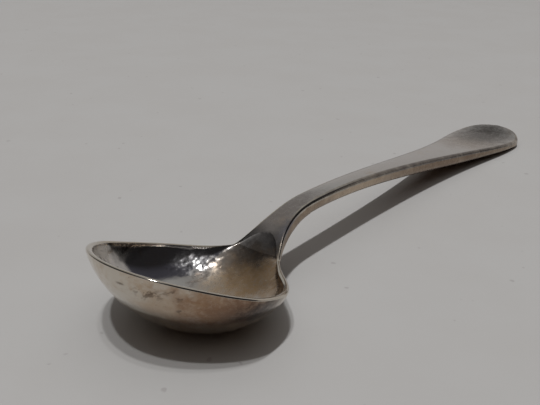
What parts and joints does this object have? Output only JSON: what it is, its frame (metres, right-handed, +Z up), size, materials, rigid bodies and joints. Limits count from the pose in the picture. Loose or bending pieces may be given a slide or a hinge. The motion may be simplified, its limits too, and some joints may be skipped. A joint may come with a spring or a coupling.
{
  "type": "salt spoon",
  "caption": "Small hand-made silver salt spoon: deep round bowl with a rounded rim, cranked slender stem and a plain rounded terminal.",
  "frame": {"origin": "on the table plane that the spoon rests on, under the centre of its bounding box", "axes": "+Z up, +X along the spoon from the bowl's tip to the end of the handle, +Y across it"},
  "size_m": [0.07, 0.0142, 0.0074],
  "materials": {
    "bowl_silver": "worn, tarnished silver, darker and browner inside the bowl",
    "handle_silver": "worn, tarnished silver with a matt grey upper face",
    "solder_silver": "satin silver solder"
  },
  "bodies": {
    "root": {"bowl": "bowl_silver", "handle": "handle_silver", "solder_seam": "solder_silver"}
  },
  "joints": []
}
